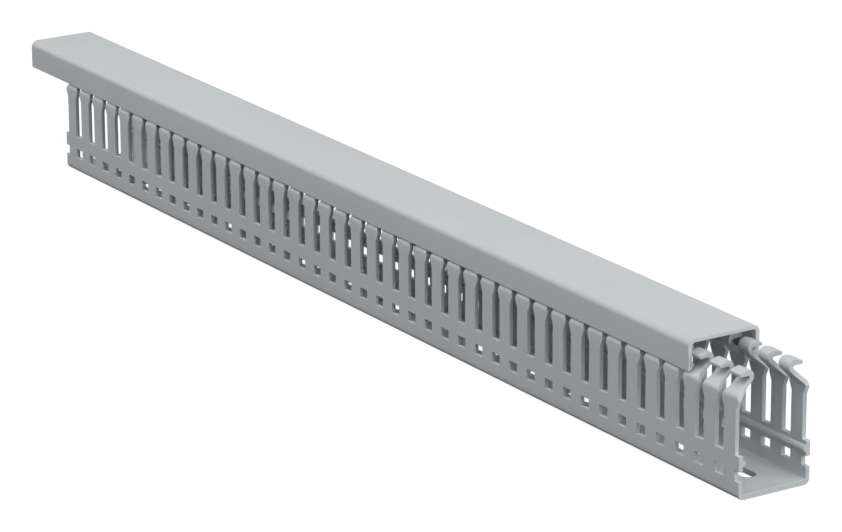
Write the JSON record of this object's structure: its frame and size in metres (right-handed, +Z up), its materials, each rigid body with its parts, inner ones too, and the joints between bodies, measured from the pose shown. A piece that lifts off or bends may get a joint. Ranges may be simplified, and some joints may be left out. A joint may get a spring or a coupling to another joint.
{
  "type": "slotted wire duct",
  "caption": "Slotted wire duct: a square trough whose side walls are cut into hooked fingers, with punched side holes, base slots and a clip-on cover that slides lengthwise.",
  "frame": {"origin": "middle of the channel's flat underside, at half its length and half its width", "axes": "+X along the duct away from the end where the cover stands out, +Y across the duct, +Z up out of the open side towards the cover"},
  "size_m": [0.4014, 0.024, 0.0392],
  "materials": {
    "channel_plastic": "smooth matt extruded light grey plastic",
    "cover_plastic": "smooth matt extruded light grey plastic"
  },
  "bodies": {
    "trough": {"channel": "channel_plastic"},
    "lid": {"cover": "cover_plastic"}
  },
  "joints": [
    {"name": "cover_slide", "type": "slide", "parent": "trough", "child": "lid", "axis": [1, 0, 0], "range_m": [-0.15, 0.1968]}
  ]
}
